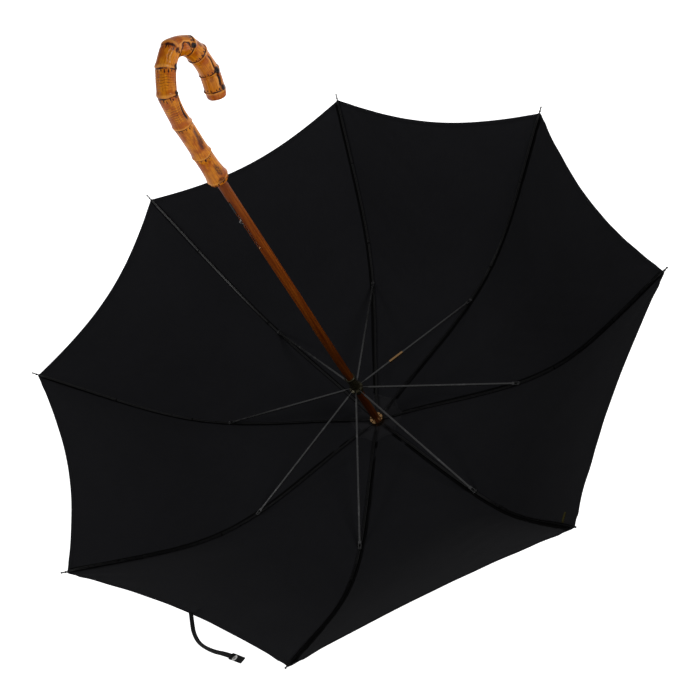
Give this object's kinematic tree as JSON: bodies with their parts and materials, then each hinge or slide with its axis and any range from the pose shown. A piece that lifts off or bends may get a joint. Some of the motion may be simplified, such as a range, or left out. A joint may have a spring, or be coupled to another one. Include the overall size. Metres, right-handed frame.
{
  "type": "stick umbrella",
  "caption": "Open stick umbrella with a bamboo crook handle, wooden shaft, fluted steel ribs and stretchers and a black cover; the runner slides to close it.",
  "frame": {"origin": "middle of the grip, on the shaft's axis, where a hand holds the straight part of the handle", "axes": "+Z along the shaft from the ferrule to the handle, so the open cover hangs below like a bowl; +X from the shaft towards the free end of the crook; the shaft's two spring catches face -X"},
  "size_m": [0.9813, 0.975, 0.9001],
  "materials": {
    "cane": "polished",
    "shaft_wood": "polished",
    "dark_steel": "satin",
    "brass": "polished",
    "bright_steel": "polished",
    "runner_metal": "gloss",
    "cover_fabric": "matte",
    "strap_fabric": "matte",
    "tab_fabric": "matte"
  },
  "bodies": {
    "stick": {"handle": "cane", "shaft": "shaft_wood", "ferrule": "dark_steel", "crown_cap": "dark_steel", "outer_rosette": "cover_fabric", "inner_rosette": "cover_fabric", "top_notch": "brass", "notch_wire": "bright_steel", "spring_box": "dark_steel", "spring_pin": "brass"},
    "runner": {"runner": "runner_metal", "runner_wire": "dark_steel"},
    "top_spring": {"top_spring": "bright_steel"},
    "hand_spring": {"hand_spring": "bright_steel"},
    "rib_1": {"rib_1": "dark_steel", "joint_pin_1": "dark_steel"},
    "stretcher_1": {"stretcher_1": "dark_steel"},
    "gore_1_a": {"gore_1_a": "cover_fabric"},
    "gore_8_b": {"gore_8_b": "cover_fabric"},
    "rib_2": {"rib_2": "dark_steel", "joint_pin_2": "dark_steel"},
    "stretcher_2": {"stretcher_2": "dark_steel"},
    "gore_2_a": {"gore_2_a": "cover_fabric"},
    "gore_1_b": {"gore_1_b": "cover_fabric"},
    "rib_3": {"rib_3": "dark_steel", "joint_pin_3": "dark_steel"},
    "stretcher_3": {"stretcher_3": "dark_steel"},
    "gore_3_a": {"gore_3_a": "cover_fabric"},
    "gore_2_b": {"gore_2_b": "cover_fabric"},
    "rib_4": {"rib_4": "dark_steel", "joint_pin_4": "dark_steel"},
    "stretcher_4": {"stretcher_4": "dark_steel"},
    "gore_4_a": {"gore_4_a": "cover_fabric"},
    "gore_3_b": {"gore_3_b": "cover_fabric"},
    "rib_5": {"rib_5": "dark_steel", "joint_pin_5": "dark_steel"},
    "stretcher_5": {"stretcher_5": "dark_steel"},
    "gore_5_a": {"gore_5_a": "cover_fabric"},
    "gore_4_b": {"gore_4_b": "cover_fabric", "tie_strap": "strap_fabric", "strap_snap": "bright_steel"},
    "rib_6": {"rib_6": "dark_steel", "joint_pin_6": "dark_steel", "side_tab": "tab_fabric"},
    "stretcher_6": {"stretcher_6": "dark_steel"},
    "gore_6_a": {"gore_6_a": "cover_fabric"},
    "gore_5_b": {"gore_5_b": "cover_fabric"},
    "rib_7": {"rib_7": "dark_steel", "joint_pin_7": "dark_steel"},
    "stretcher_7": {"stretcher_7": "dark_steel"},
    "gore_7_a": {"gore_7_a": "cover_fabric"},
    "gore_6_b": {"gore_6_b": "cover_fabric"},
    "rib_8": {"rib_8": "dark_steel", "joint_pin_8": "dark_steel"},
    "stretcher_8": {"stretcher_8": "dark_steel", "stretcher_sleeve": "brass"},
    "gore_8_a": {"gore_8_a": "cover_fabric"},
    "gore_7_b": {"gore_7_b": "cover_fabric"}
  },
  "joints": [
    {"name": "runner_slide", "type": "slide", "parent": "stick", "child": "runner", "axis": [0, 0, 1], "range_m": [0, 0.38967], "deforming": ["top_spring"]},
    {"name": "top_spring_press", "type": "hinge", "parent": "stick", "child": "top_spring", "pos_m": [-0.006, 0, -0.586], "axis": [0, 1, 0], "range_deg": [0, 5.8], "stiffness_Nm_per_rad": 2},
    {"name": "hand_spring_press", "type": "hinge", "parent": "stick", "child": "hand_spring", "pos_m": [-0.006, 0, -0.195], "axis": [0, 1, 0], "range_deg": [0, 4.1], "stiffness_Nm_per_rad": 3},
    {"name": "rib_1_hinge", "type": "hinge", "parent": "stick", "child": "rib_1", "pos_m": [0.00905, 0.00375, -0.706], "axis": [0.3827, -0.9239, 0], "range_deg": [0, 59.48]},
    {"name": "stretcher_1_hinge", "type": "hinge", "parent": "rib_1", "child": "stretcher_1", "pos_m": [0.2476, 0.10256, -0.65], "axis": [-0.3827, 0.9239, 0], "range_deg": [0, 118.96]},
    {"name": "gore_1_a_fold", "type": "hinge", "parent": "rib_1", "child": "gore_1_a", "pos_m": [0.00905, 0.00375, -0.706], "axis": [-0.7998, -0.3313, -0.5006], "range_deg": [0, 74.02], "deforming": ["gore_1_a"]},
    {"name": "gore_8_b_fold", "type": "hinge", "parent": "rib_1", "child": "gore_8_b", "pos_m": [0.00905, 0.00375, -0.706], "axis": [0.7998, 0.3313, 0.5006], "range_deg": [0, 74.02], "deforming": ["gore_8_b"]},
    {"name": "rib_2_hinge", "type": "hinge", "parent": "stick", "child": "rib_2", "pos_m": [0.00375, 0.00905, -0.706], "axis": [0.9239, -0.3827, 0], "range_deg": [0, 59.48]},
    {"name": "stretcher_2_hinge", "type": "hinge", "parent": "rib_2", "child": "stretcher_2", "pos_m": [0.10256, 0.2476, -0.65], "axis": [-0.9239, 0.3827, 0], "range_deg": [0, 118.96]},
    {"name": "gore_2_a_fold", "type": "hinge", "parent": "rib_2", "child": "gore_2_a", "pos_m": [0.00375, 0.00905, -0.706], "axis": [-0.3313, -0.7998, -0.5006], "range_deg": [0, 74.02], "deforming": ["gore_2_a"]},
    {"name": "gore_1_b_fold", "type": "hinge", "parent": "rib_2", "child": "gore_1_b", "pos_m": [0.00375, 0.00905, -0.706], "axis": [0.3313, 0.7998, 0.5006], "range_deg": [0, 74.02], "deforming": ["gore_1_b"]},
    {"name": "rib_3_hinge", "type": "hinge", "parent": "stick", "child": "rib_3", "pos_m": [-0.00375, 0.00905, -0.706], "axis": [0.9239, 0.3827, 0], "range_deg": [0, 59.48]},
    {"name": "stretcher_3_hinge", "type": "hinge", "parent": "rib_3", "child": "stretcher_3", "pos_m": [-0.10256, 0.2476, -0.65], "axis": [-0.9239, -0.3827, 0], "range_deg": [0, 118.96]},
    {"name": "gore_3_a_fold", "type": "hinge", "parent": "rib_3", "child": "gore_3_a", "pos_m": [-0.00375, 0.00905, -0.706], "axis": [0.3313, -0.7998, -0.5006], "range_deg": [0, 74.02], "deforming": ["gore_3_a"]},
    {"name": "gore_2_b_fold", "type": "hinge", "parent": "rib_3", "child": "gore_2_b", "pos_m": [-0.00375, 0.00905, -0.706], "axis": [-0.3313, 0.7998, 0.5006], "range_deg": [0, 74.02], "deforming": ["gore_2_b"]},
    {"name": "rib_4_hinge", "type": "hinge", "parent": "stick", "child": "rib_4", "pos_m": [-0.00905, 0.00375, -0.706], "axis": [0.3827, 0.9239, 0], "range_deg": [0, 59.48]},
    {"name": "stretcher_4_hinge", "type": "hinge", "parent": "rib_4", "child": "stretcher_4", "pos_m": [-0.2476, 0.10256, -0.65], "axis": [-0.3827, -0.9239, 0], "range_deg": [0, 118.96]},
    {"name": "gore_4_a_fold", "type": "hinge", "parent": "rib_4", "child": "gore_4_a", "pos_m": [-0.00905, 0.00375, -0.706], "axis": [0.7998, -0.3313, -0.5006], "range_deg": [0, 74.02], "deforming": ["gore_4_a"]},
    {"name": "gore_3_b_fold", "type": "hinge", "parent": "rib_4", "child": "gore_3_b", "pos_m": [-0.00905, 0.00375, -0.706], "axis": [-0.7998, 0.3313, 0.5006], "range_deg": [0, 74.02], "deforming": ["gore_3_b"]},
    {"name": "rib_5_hinge", "type": "hinge", "parent": "stick", "child": "rib_5", "pos_m": [-0.00905, -0.00375, -0.706], "axis": [-0.3827, 0.9239, 0], "range_deg": [0, 59.48]},
    {"name": "stretcher_5_hinge", "type": "hinge", "parent": "rib_5", "child": "stretcher_5", "pos_m": [-0.2476, -0.10256, -0.65], "axis": [0.3827, -0.9239, 0], "range_deg": [0, 118.96]},
    {"name": "gore_5_a_fold", "type": "hinge", "parent": "rib_5", "child": "gore_5_a", "pos_m": [-0.00905, -0.00375, -0.706], "axis": [0.7998, 0.3313, -0.5006], "range_deg": [0, 74.02], "deforming": ["gore_5_a"]},
    {"name": "gore_4_b_fold", "type": "hinge", "parent": "rib_5", "child": "gore_4_b", "pos_m": [-0.00905, -0.00375, -0.706], "axis": [-0.7998, -0.3313, 0.5006], "range_deg": [0, 74.02], "deforming": ["gore_4_b"]},
    {"name": "rib_6_hinge", "type": "hinge", "parent": "stick", "child": "rib_6", "pos_m": [-0.00375, -0.00905, -0.706], "axis": [-0.9239, 0.3827, 0], "range_deg": [0, 59.48]},
    {"name": "stretcher_6_hinge", "type": "hinge", "parent": "rib_6", "child": "stretcher_6", "pos_m": [-0.10256, -0.2476, -0.65], "axis": [0.9239, -0.3827, 0], "range_deg": [0, 118.96]},
    {"name": "gore_6_a_fold", "type": "hinge", "parent": "rib_6", "child": "gore_6_a", "pos_m": [-0.00375, -0.00905, -0.706], "axis": [0.3313, 0.7998, -0.5006], "range_deg": [0, 74.02], "deforming": ["gore_6_a"]},
    {"name": "gore_5_b_fold", "type": "hinge", "parent": "rib_6", "child": "gore_5_b", "pos_m": [-0.00375, -0.00905, -0.706], "axis": [-0.3313, -0.7998, 0.5006], "range_deg": [0, 74.02], "deforming": ["gore_5_b"]},
    {"name": "rib_7_hinge", "type": "hinge", "parent": "stick", "child": "rib_7", "pos_m": [0.00375, -0.00905, -0.706], "axis": [-0.9239, -0.3827, 0], "range_deg": [0, 59.48]},
    {"name": "stretcher_7_hinge", "type": "hinge", "parent": "rib_7", "child": "stretcher_7", "pos_m": [0.10256, -0.2476, -0.65], "axis": [0.9239, 0.3827, 0], "range_deg": [0, 118.96]},
    {"name": "gore_7_a_fold", "type": "hinge", "parent": "rib_7", "child": "gore_7_a", "pos_m": [0.00375, -0.00905, -0.706], "axis": [-0.3313, 0.7998, -0.5006], "range_deg": [0, 74.02], "deforming": ["gore_7_a"]},
    {"name": "gore_6_b_fold", "type": "hinge", "parent": "rib_7", "child": "gore_6_b", "pos_m": [0.00375, -0.00905, -0.706], "axis": [0.3313, -0.7998, 0.5006], "range_deg": [0, 74.02], "deforming": ["gore_6_b"]},
    {"name": "rib_8_hinge", "type": "hinge", "parent": "stick", "child": "rib_8", "pos_m": [0.00905, -0.00375, -0.706], "axis": [-0.3827, -0.9239, 0], "range_deg": [0, 59.48]},
    {"name": "stretcher_8_hinge", "type": "hinge", "parent": "rib_8", "child": "stretcher_8", "pos_m": [0.2476, -0.10256, -0.65], "axis": [0.3827, 0.9239, 0], "range_deg": [0, 118.96]},
    {"name": "gore_8_a_fold", "type": "hinge", "parent": "rib_8", "child": "gore_8_a", "pos_m": [0.00905, -0.00375, -0.706], "axis": [-0.7998, 0.3313, -0.5006], "range_deg": [0, 74.02], "deforming": ["gore_8_a"]},
    {"name": "gore_7_b_fold", "type": "hinge", "parent": "rib_8", "child": "gore_7_b", "pos_m": [0.00905, -0.00375, -0.706], "axis": [0.7998, -0.3313, 0.5006], "range_deg": [0, 74.02], "deforming": ["gore_7_b"]}
  ],
  "couplings": [
    {"joint": "rib_1_hinge", "follows": "runner_slide", "rad_per_m": 2.6631},
    {"joint": "stretcher_1_hinge", "follows": "runner_slide", "rad_per_m": 5.3263},
    {"joint": "gore_1_a_fold", "follows": "runner_slide", "rad_per_m": 3.3145},
    {"joint": "gore_8_b_fold", "follows": "runner_slide", "rad_per_m": 3.3145},
    {"joint": "rib_2_hinge", "follows": "runner_slide", "rad_per_m": 2.6631},
    {"joint": "stretcher_2_hinge", "follows": "runner_slide", "rad_per_m": 5.3263},
    {"joint": "gore_2_a_fold", "follows": "runner_slide", "rad_per_m": 3.3145},
    {"joint": "gore_1_b_fold", "follows": "runner_slide", "rad_per_m": 3.3145},
    {"joint": "rib_3_hinge", "follows": "runner_slide", "rad_per_m": 2.6631},
    {"joint": "stretcher_3_hinge", "follows": "runner_slide", "rad_per_m": 5.3263},
    {"joint": "gore_3_a_fold", "follows": "runner_slide", "rad_per_m": 3.3145},
    {"joint": "gore_2_b_fold", "follows": "runner_slide", "rad_per_m": 3.3145},
    {"joint": "rib_4_hinge", "follows": "runner_slide", "rad_per_m": 2.6631},
    {"joint": "stretcher_4_hinge", "follows": "runner_slide", "rad_per_m": 5.3263},
    {"joint": "gore_4_a_fold", "follows": "runner_slide", "rad_per_m": 3.3145},
    {"joint": "gore_3_b_fold", "follows": "runner_slide", "rad_per_m": 3.3145},
    {"joint": "rib_5_hinge", "follows": "runner_slide", "rad_per_m": 2.6631},
    {"joint": "stretcher_5_hinge", "follows": "runner_slide", "rad_per_m": 5.3263},
    {"joint": "gore_5_a_fold", "follows": "runner_slide", "rad_per_m": 3.3145},
    {"joint": "gore_4_b_fold", "follows": "runner_slide", "rad_per_m": 3.3145},
    {"joint": "rib_6_hinge", "follows": "runner_slide", "rad_per_m": 2.6631},
    {"joint": "stretcher_6_hinge", "follows": "runner_slide", "rad_per_m": 5.3263},
    {"joint": "gore_6_a_fold", "follows": "runner_slide", "rad_per_m": 3.3145},
    {"joint": "gore_5_b_fold", "follows": "runner_slide", "rad_per_m": 3.3145},
    {"joint": "rib_7_hinge", "follows": "runner_slide", "rad_per_m": 2.6631},
    {"joint": "stretcher_7_hinge", "follows": "runner_slide", "rad_per_m": 5.3263},
    {"joint": "gore_7_a_fold", "follows": "runner_slide", "rad_per_m": 3.3145},
    {"joint": "gore_6_b_fold", "follows": "runner_slide", "rad_per_m": 3.3145},
    {"joint": "rib_8_hinge", "follows": "runner_slide", "rad_per_m": 2.6631},
    {"joint": "stretcher_8_hinge", "follows": "runner_slide", "rad_per_m": 5.3263},
    {"joint": "gore_8_a_fold", "follows": "runner_slide", "rad_per_m": 3.3145},
    {"joint": "gore_7_b_fold", "follows": "runner_slide", "rad_per_m": 3.3145}
  ]
}
